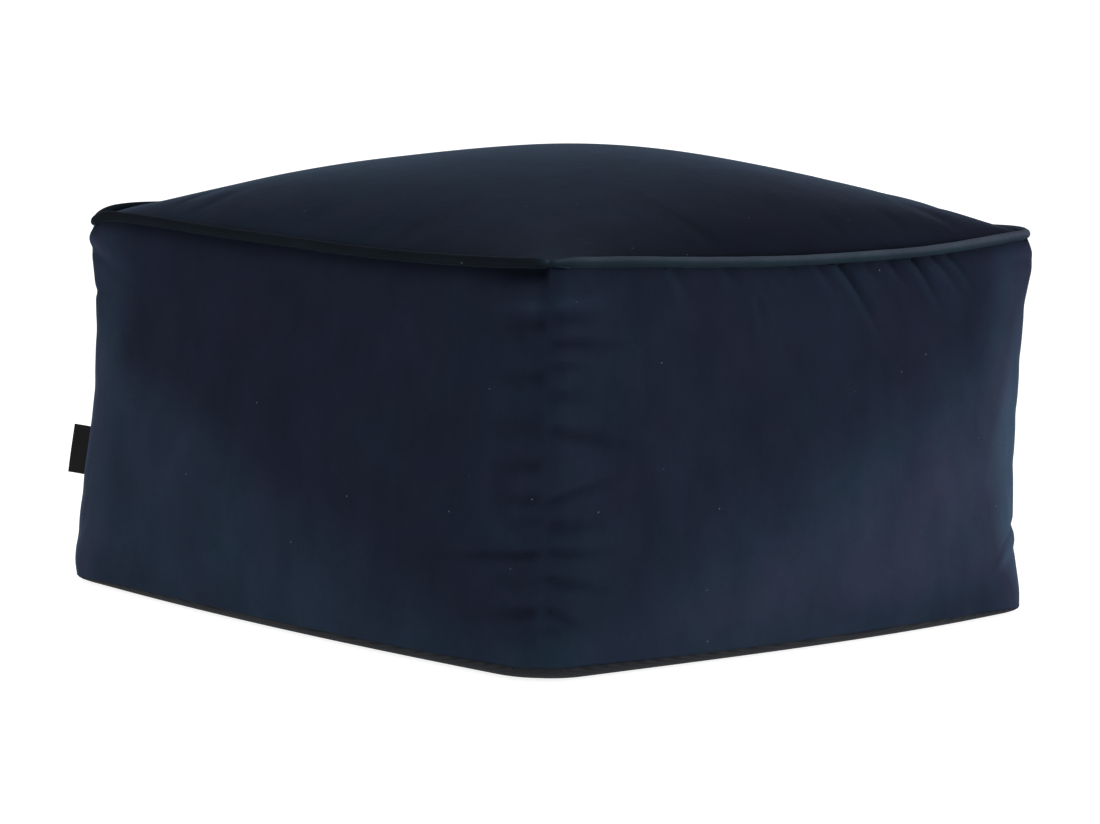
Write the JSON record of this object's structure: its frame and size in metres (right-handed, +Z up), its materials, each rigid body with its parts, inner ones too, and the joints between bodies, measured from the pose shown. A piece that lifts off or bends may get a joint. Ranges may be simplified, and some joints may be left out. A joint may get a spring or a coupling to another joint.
{
  "type": "velvet floor pouf",
  "caption": "Square floor pouf of filled velvet with a crowned top, piping round the top seam, gathered corner seams, a dark base panel and a small folded side label.",
  "frame": {"origin": "middle of the base, on the floor", "axes": "+Z up; +X and +Y out of two neighbouring sides; the label is in the seam at -X -Y"},
  "size_m": [0.5636, 0.5576, 0.3424],
  "materials": {
    "velvet": "navy velvet, short pile, soft sheen",
    "piping_velvet": "navy velvet over a cord",
    "base_cloth": "dark grey woven cloth, matt",
    "label_ribbon": "black woven ribbon"
  },
  "bodies": {
    "root": {"velvet_cover": "velvet", "top_piping": "piping_velvet", "base_panel": "base_cloth", "side_label": "label_ribbon"}
  },
  "joints": []
}
